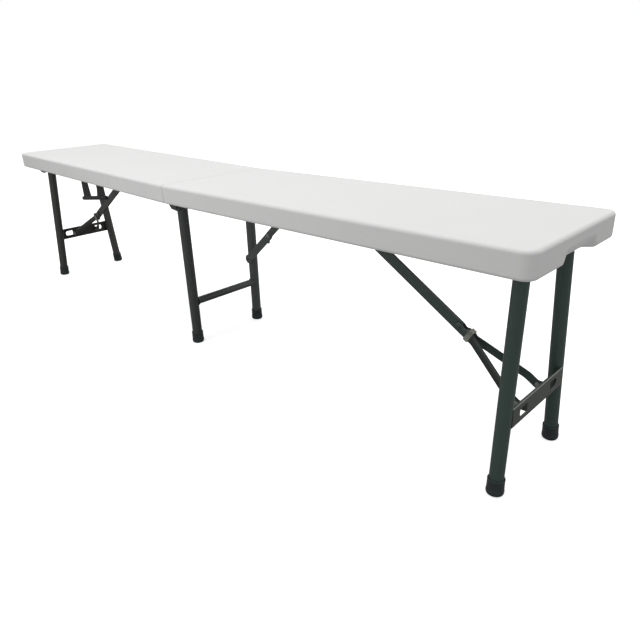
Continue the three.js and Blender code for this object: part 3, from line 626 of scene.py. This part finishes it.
# End leg frames
# Two splayed 25 mm steel tubes meet a cross tube that turns in the deck brackets, with moulded caps as feet.
# A pressed bar with turned lips crosses the outside of the legs. A lug bent inwards out of each window
# takes one strap.
tube_radius = 0.0127
round_steps = 56
tube_tree, flow, inputs, finish_with = new_tree("tube_along_line", [
    ("Start", "NodeSocketVector"), ("End", "NodeSocketVector"), ("Radius", "NodeSocketFloat"),
    ("Sides", "NodeSocketInt"), ("Material", "NodeSocketMaterial")])
path = flow.node("GeometryNodeCurvePrimitiveLine", 0, {},
                 {"Start": inputs["Start"], "End": inputs["End"]})
circle = flow.node("GeometryNodeCurvePrimitiveCircle", 0, {},
                   {"Resolution": inputs["Sides"], "Radius": inputs["Radius"]})
swept = flow.node("GeometryNodeCurveToMesh", 0, {},
                  {"Curve": path, "Profile Curve": circle, "Fill Caps": True})
finish_with(swept)


def tube(name, start, end, radius, body, node):
    piece = bpy.data.objects.new(name, bpy.data.meshes.new(name))
    bpy.context.scene.collection.objects.link(piece)
    use_tree(piece, tube_tree, {"Start": tuple(start), "End": tuple(end), "Radius": radius,
                                "Sides": round_steps, "Material": coat})
    marked_sharp(piece.data, 40)
    eased(piece, 0.0006, 2, 50)
    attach(piece, body)
    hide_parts(node)


black_colour = linear(36, 45, 45)
black, shader, flow, place = new_finish("black_cap", black_colour, 0.55, 0, 0.4)
grit = place.noise(1400, 2)
dust_height = 0.006
dust = (1 - place.part(2) / dust_height).clipped(0, 1) * place.noise(300, 2)
flow.feed((dust * 0.5).blend(black_colour, linear(86, 86, 82)), shader.inputs["Base Color"])
flow.feed(grit * 0.2 + dust * 0.2 + 0.42, shader.inputs["Roughness"])
flow.feed(grit.bump(0.3, 0.0003), shader.inputs["Normal"])

# Each pair is a radius and a place along the leg from the floor.
cap_profile = (
    (0.0008, -0.0015), (0.0095, -0.0015), (0.0120, -0.0008), (0.0140, 0.0007), (0.0151, 0.0028),
    (0.0155, 0.0052), (0.01545, 0.0085), (0.0150, 0.0100), (0.0149, 0.0120), (0.0147, 0.0262),
    (0.0150, 0.0270), (0.0150, 0.0290), (0.0146, 0.0298), (0.0140, 0.0300), (0.0130, 0.0299),
    (0.0127, 0.0295), (0.0126, 0.0270), (0.0008, 0.0270))


def foot_cap(name, foot, head, body, node):
    axis = (head - foot).normalized()
    across = axis.orthogonal().normalized()
    other = axis.cross(across)
    points = []
    for radius, along in cap_profile:
        for i in range(round_steps):
            angle = 2 * math.pi * i / round_steps
            point = foot + axis * along + (across * math.cos(angle) + other * math.sin(angle)) * radius
            point.z = max(point.z, 0)
            points.append(point)
    piece = new_piece(name, points, ring_faces(len(cap_profile), round_steps), black, 50)
    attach(piece, body)
    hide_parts(node)


foot_x, foot_y, head_y = 0.878, 0.107, 0.076
foot_play, head_play = 0.006, 0.0006
top_tube_reach = 0.1035
pivot = in_bench(1, frame_u, 0, frame_w)
lean = math.atan2(foot_x - pivot.x, pivot.z)
bar_drop = 0.254
bar_reach = 0.0928
bend_x, bend_z = 0.0115, 0.0163
outer_bend, inner_bend = 0.0021, 0.0005
lip_end = 0.0088
lug_inwards = 0.007
lug_rise = -0.002
lug_radius = 0.008
lug_root = 0.0125
lug_faces = (0.0410, 0.0428)
lug_rivet_ends = (0.0388, 0.0430)

bar_coat = coat_finish("pressed_bar_coat", linear(48, 47, 43), linear(58, 61, 56), linear(56, 62, 56), 0.35)
# A light coat: worn on the rivet heads and partly a painted highlight there, and a painted highlight along
# the upper bend of the pressed bar.
worn_and_highlit_colour = linear(140, 146, 136)
worn_and_highlit, shader, flow, place = new_finish("rubbed_coat", worn_and_highlit_colour, 0.4)
wear = place.noise(300, 3)
flow.feed((wear * 0.6 + 0.7).shading(worn_and_highlit_colour[:3]), shader.inputs["Base Color"])
flow.feed(wear * 0.3 + 0.3, shader.inputs["Roughness"])
flow.feed(place.noise(900, 2).bump(0.2, 0.0003), shader.inputs["Normal"])


def on_frame(side, x, y, z):
    along = z - bar_drop
    return Vector((side * (pivot.x + x * math.cos(lean) - along * math.sin(lean)), side * y,
                   pivot.z + x * math.sin(lean) + along * math.cos(lean)))


def bend(z, radius, degrees):
    return [(bend_x + radius * math.cos(math.radians(turn)), z + radius * math.sin(math.radians(turn)))
            for turn in degrees]


def bar_section():
    return ([(lip_end, bend_z + outer_bend)] + bend(bend_z, outer_bend, range(90, -1, -15))
            + bend(-bend_z, outer_bend, range(0, -91, -15)) + [(lip_end, -bend_z - outer_bend)]
            + [(lip_end, -bend_z - inner_bend)] + bend(-bend_z, inner_bend, (-90, -45, 0))
            + bend(bend_z, inner_bend, (0, 45, 90)) + [(lip_end, bend_z + inner_bend)])


def window_cutter(side, way):
    corners = ((0.0620, 0.0020, 0.0062, 0), (0.0450, 0.0062, 0.0020, 90),
               (0.0450, -0.0062, 0.0020, 180), (0.0620, -0.0020, 0.0062, 270))
    outline = []
    for y, z, radius, start in corners:
        for turn in range(start, start + 91, 15):
            angle = math.radians(turn)
            outline.append((y + radius * math.cos(angle), z + radius * math.sin(angle)))
    points = [on_frame(side, x, way * y, z) for x in (0.009, 0.016) for y, z in outline]
    return new_piece("window_cutter", points, ring_faces(2, len(outline)), bar_coat)


def pressed_bar(name, side):
    section = bar_section()
    points = [on_frame(side, x, y, z) for y in (-bar_reach, bar_reach) for x, z in section]
    bar = new_piece(name, points, ring_faces(2, len(section)), bar_coat)
    for way in edges.values():
        cut_away(bar, window_cutter(side, way))
    marked_sharp(bar.data, 34)
    eased(bar, 0.0003, 2, 40)
    bar.data.materials.append(worn_and_highlit)
    bar.data.materials.append(shaded_coat)
    out_way = on_frame(side, 1, 0, 0) - on_frame(side, 0, 0, 0)
    up_way = on_frame(side, 0, 0, 1) - on_frame(side, 0, 0, 0)
    # Painted light: faces that look straight up take the darker coat as painted shade, and the upper outer
    # bend takes the light coat as a painted highlight.
    for face in bar.data.polygons:
        out, up = face.normal.dot(out_way), face.normal.dot(up_way)
        if up > 0.96:
            face.material_index = 2
        elif up > 0.25 and out > 0.2:
            face.material_index = 1
    return bar


def bent_lug(name, side, way):
    outline = [(lug_root, lug_rise - lug_radius), (lug_root, lug_rise + lug_radius)]
    for turn in range(90, 271, 15):
        angle = math.radians(turn)
        outline.append((lug_radius * math.cos(angle) - lug_inwards, lug_rise + lug_radius * math.sin(angle)))
    points = [on_frame(side, x, way * y, z) for y in lug_faces for x, z in outline]
    return eased(new_piece(name, points, ring_faces(2, len(outline)), bar_coat), 0.0003, 2, 40)


for label, side in sides.items():
    body = f"{label}_frame"
    top = in_bench(side, frame_u, 0, frame_w)
    reach = Vector((0, top_tube_reach, 0))
    tube(f"{label}_top_cross_tube", top - reach, top + reach, tube_radius, body, f"{label}_top_tube")
    for edge, way in edges.items():
        foot = Vector((side * foot_x, way * foot_y, 0))
        head = Vector((top.x, way * head_y, top.z))
        along = (head - foot).normalized()
        tube(f"{label}_leg_tube_{edge}", foot + along * foot_play, head - along * head_play, tube_radius,
             body, f"{label}_leg_{edge}")
        foot_cap(f"{label}_foot_cap_{edge}", foot, head, body, f"{label}_foot_{edge}")
    bar = pressed_bar(f"{label}_pressed_bar", side)
    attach(bar, body)
    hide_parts(f"{label}_cross_plate")
    spots = []
    for edge, way in edges.items():
        lug = bent_lug(f"{label}_lug_{edge}", side, way)
        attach(lug, body)
        for end, facing_way in zip(lug_rivet_ends, (-way, way)):
            spots.append((on_frame(side, -lug_inwards, way * end, lug_rise), (0, facing_way, 0)))
    # The heads take the light coat: worn, and partly a painted highlight.
    set_heads(f"{label}_lug_rivets", body, rivet_head, spots,
              [f"{label}_lug_rivet_{edge}" for edge in edges], worn_and_highlit)


# Knee braces
# A folded steel channel runs down from the deck to a riveted knee, where two flat straps take over and
# spread to the lugs on the pressed bar. A zinc-plated lock ring rides on the straps below the knee.
# Places on a brace run down its line from the knee rivet.
anchor = in_bench(1, brace_u, 0, brace_w)
lug_eye = on_frame(1, -lug_inwards, 0, 0)
folded_eye = in_bench(1, frame_u - bar_drop, 0, frame_w + lug_inwards)
open_span = (lug_eye - anchor).length
folded_span = (folded_eye - anchor).length
lower_reach = (open_span - folded_span) / 2
knee = anchor.lerp(lug_eye, (open_span + folded_span) / 2 / open_span)
run = (lug_eye - anchor).normalized()
rise = Vector((-run.z, 0, run.x))
spread_from, spread_to = 0.034, lower_reach - 0.022
knee_aside, eye_aside = 0.0042, 0.0397
ring_from, ring_to = 0.0200, 0.0298
flat_until = 0.031
knee_rivet_y = 0.0051


def on_brace(side, s, y, h):
    point = knee + run * s + rise * h
    return Vector((side * point.x, side * y, point.z))


def eased_step(value, low, high):
    share = min(max((value - low) / (high - low), 0), 1)
    return share * share * (3 - 2 * share)


def strap_line(s):
    share = (s - spread_from) / (spread_to - spread_from)
    soft = 0.05
    if abs(share) < soft:
        share = (share + soft) ** 2 / (4 * soft)
    elif abs(1 - share) < soft:
        share = 1 - (1 + soft - share) ** 2 / (4 * soft)
    else:
        share = min(max(share, 0), 1)
    return knee_aside + (eye_aside - knee_aside) * share


def strap(name, side, way, finish):
    head_round, head_under, eye_round = 0.0088, 0.0093, 0.0085
    half_gauge = 0.0009
    spacing = 0.0015
    turns = [math.radians(10 + 10 * i) for i in range(9)]
    stations = [(-0.009 * math.cos(turn), head_round * math.sin(turn), head_under * math.sin(turn))
                for turn in turns]
    s = spacing
    while s < lower_reach:
        hump = 0.0033 * (eased_step(s, 0.012, 0.018) - eased_step(s, 0.0315, 0.0355))
        dip = 0.0015 * eased_step(s, 0.004, 0.010) - 0.0012 * eased_step(s, 0.0315, 0.0355)
        under = head_under - 0.0008 * eased_step(s, flat_until, 0.037)
        stations.append((s, head_round - dip + hump, under))
        s += spacing
    stations += [(lower_reach + eye_round * math.cos(turn), eye_round * math.sin(turn),
                  eye_round * math.sin(turn)) for turn in reversed(turns)]
    points = []
    for s, top, low in stations:
        line = strap_line(s)
        slope = (strap_line(s + 0.0005) - strap_line(s - 0.0005)) / 0.001
        length = math.hypot(1, slope)
        ease = min(0.0004, top * 0.4)
        drop = math.cos(lean) * lug_rise * eased_step(s, spread_from, lower_reach)
        side_face = half_gauge - ease
        for across, h in ((-half_gauge, ease - low), (-side_face, -low), (side_face, -low),
                          (half_gauge, ease - low), (half_gauge, top - ease), (side_face, top),
                          (-side_face, top), (-half_gauge, top - ease)):
            points.append(on_brace(side, s - across * slope / length, way * (line + across / length),
                                   h + drop))
    return new_piece(name, points, ring_faces(len(stations), 8), finish, 50)


zinc, shader, flow, place = new_finish("zinc_plate", linear(150, 151, 142), 0.4, 0.85)
cloud = place.noise(160, 3)
scratch = place.noise(900, 2, 0.6, (1, 6, 1))
# Painted shade: the plating is darkened towards the ring's top and lightened towards its bottom.
ring_middle = on_brace(1, (ring_from + ring_to) / 2, 0, 0.0007).z
painted_top_shade = 1.12 - ((place.part(2) - ring_middle) / 0.018 + 0.5).clipped(0, 1) * 0.42
plating = cloud.clipped(0.35, 0.65).blend(linear(122, 129, 112), linear(170, 167, 160))
flow.feed(painted_top_shade.shading(plating), shader.inputs["Base Color"])
flow.feed(cloud * 0.2 + scratch * 0.15 + 0.24, shader.inputs["Roughness"])
flow.feed((scratch * 0.5 + cloud * 0.5).bump(0.2, 0.0003), shader.inputs["Normal"])


def lock_ring(name, side):
    slot, inner, outer = 0.0033, 0.0055, 0.0071
    base, sill, roof, crown = -0.0113, -0.0097, 0.0111, 0.0127
    section = [(slot, base), (outer, base), (outer, crown), (-outer, crown), (-outer, base), (-slot, base),
               (-slot, sill), (-inner, sill), (-inner, roof), (inner, roof), (inner, sill), (slot, sill)]
    points = [on_brace(side, s, y, h) for s in (ring_from, ring_to) for y, h in section]
    return eased(new_piece(name, points, ring_faces(2, len(section)), zinc), 0.0004)


channel_narrower, channel_higher = 0.75, 0.18
for label, side in sides.items():
    piece = dressed(f"{label}_channel", coat, 0.0005)
    for vertex in piece.data.vertices:
        x, y, z = vertex.co
        lift = (Vector((side * x, y, z)) - knee).dot(rise) * channel_higher
        vertex.co = (x + side * rise.x * lift, y * channel_narrower, z + rise.z * lift)
    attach(piece, f"{label}_channel_arm")
    for edge, way in edges.items():
        # Painted shade: the near strap takes the darker coat, except its flat part by the knee.
        piece = strap(f"{label}_strap_{edge}_bar", side, side * way, shaded_coat if edge == "near" else coat)
        piece.data.materials.append(coat)
        for face in piece.data.polygons:
            middle = Vector((side * face.center.x, 0, face.center.z))
            if (middle - knee).dot(run) < flat_until:
                face.material_index = 1
        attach(piece, f"{label}_straps")
        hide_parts(f"{label}_strap_{edge}")
    spots = [(on_brace(side, 0, side * way * knee_rivet_y, 0), (0, way, 0)) for way in edges.values()]
    set_heads(f"{label}_knee_rivets", f"{label}_straps", rivet_head, spots)
    piece = lock_ring(f"{label}_lock_ring", side)
    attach(piece, f"{label}_ring")
    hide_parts(*[f"{label}_lock_ring_{edge}" for edge in edges])


# Middle leg frame
# Two tubes hang from the fold bolts between the hinge plates, and a thinner rung is welded in low down.
# Their heads are rounded about the bolt, so that they clear the seam as the halves close.
foot_aside = -0.006
middle_leg_y = 0.1035
dome_swell = 0.0002
leg_levels = [(tube_radius, foot_play)]
for turn in range(0, 91, 10):
    angle = math.radians(turn)
    leg_levels.append((tube_radius * math.cos(angle) + dome_swell,
                       fold_height + tube_radius * math.sin(angle)))
for edge, way in edges.items():
    foot = Vector((foot_aside, way * middle_leg_y, 0))
    head = Vector((0, way * middle_leg_y, fold_height))
    points = []
    for radius, height in leg_levels:
        centre = foot.lerp(head, height / fold_height)
        for i in range(round_steps):
            angle = 2 * math.pi * i / round_steps
            points.append(centre + Vector((radius * math.cos(angle), radius * math.sin(angle), 0)))
    piece = new_piece(f"middle_leg_tube_{edge}", points, ring_faces(len(leg_levels), round_steps), coat, 50)
    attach(piece, "middle_frame")
    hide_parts(f"middle_leg_{edge}")
    foot_cap(f"middle_foot_cap_{edge}", foot, head, "middle_frame", f"middle_foot_{edge}")

rung_height = 0.115
rung_radius = 0.0095
rung_x = foot_aside * (1 - rung_height / fold_height)
tube("middle_rung_tube", (rung_x, -middle_leg_y, rung_height), (rung_x, middle_leg_y, rung_height),
     rung_radius, "middle_frame", "middle_rung")
weld_profile = ((0.0096, 0.0868), (0.0104, 0.0886), (0.0114, 0.0900), (0.0122, 0.0915))
weld_steps = 32
for edge, way in edges.items():
    points = []
    for radius, y in weld_profile:
        for i in range(weld_steps):
            angle = 2 * math.pi * i / weld_steps
            points.append((rung_x + radius * math.cos(angle), way * y,
                           rung_height + radius * math.sin(angle)))
    weld = new_piece(f"middle_rung_weld_{edge}", points, ring_faces(len(weld_profile), weld_steps), coat)
    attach(weld, "middle_frame")

link_drop = 0.1854
link_eye = fold_height - link_drop
link_rivet = Vector((-0.002, 0.089, link_eye))
set_heads("middle_link_rivets", "middle_frame", rivet_head, [(link_rivet, (0, 1, 0))],
          ["middle_link_rivet"])


# Middle brace
# Two flat links with a riveted knee, from the far middle leg up to the deck of the right half.
# The lower link has a small stop pressed out of its edge.
for node, body in (("middle_lower_link", "middle_lower"), ("middle_upper_link", "middle_upper")):
    piece = dressed(node, coat, 0.0005)
    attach(piece, body)
upper_link_face = min(vertex.co.y for vertex in piece.data.vertices)
upper_eye = in_bench(1, link_u, 0, link_w)
lower_eye = Vector((0, 0, link_eye))
span_open = (lower_eye - upper_eye).length
span_folded = (in_bench(1, link_drop, 0, 0) - upper_eye).length
brace_knee = upper_eye.lerp(lower_eye, (span_open + span_folded) / 2 / span_open)
rivet_proud = 0.0008
brace_knee.y = upper_link_face + rivet_proud
# The head takes the light coat: worn, and partly a painted highlight.
set_heads("middle_knee_rivet", "middle_upper", rivet_head, [(brace_knee, (0, -1, 0))], (), worn_and_highlit)


# Carry handle
# Two black moulded hangers on a rod clipped inside the near rim, flared below where they hold an oval grip.
# It hangs under the left half, its outer end a little lower, and swings out from under the rim.
handle_black, shader, flow, place = new_finish("handle_black", linear(28, 28, 28), 0.6, 0, 0.25)
grit = place.noise(1200, 2)
flow.feed((grit * 0.6).blend(linear(24, 24, 24), linear(34, 34, 34)), shader.inputs["Base Color"])
flow.feed(grit * 0.2 + 0.5, shader.inputs["Roughness"])
flow.feed(grit.bump(0.3, 0.0003), shader.inputs["Normal"])
grip_higher, grip_wider = 1.35, 1.2
grip_inwards = 0.0008
for node in ("handle_hanger_outer", "handle_hanger_inner", "handle_grip"):
    piece = dressed(node, handle_black, 0.0005, 50)
    if node == "handle_grip":
        places = [vertex.co for vertex in piece.data.vertices]
        middle = sum(places, Vector()) / len(places)
        axis = (max(places, key=lambda p: p.x) - min(places, key=lambda p: p.x)).normalized()
        for vertex in piece.data.vertices:
            away = vertex.co - middle
            along = axis * away.dot(axis)
            beside = away - along
            vertex.co = middle + along + Vector((
                beside.x * grip_higher, beside.y * grip_wider + grip_inwards, beside.z * grip_higher))
    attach(piece, "carry_handle")
piece = dressed("handle_rod", coat, 0.0004, 50)
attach(piece, "left_half")

for used in (screw_head, bolt_head, rivet_head):
    bpy.data.objects.remove(used)
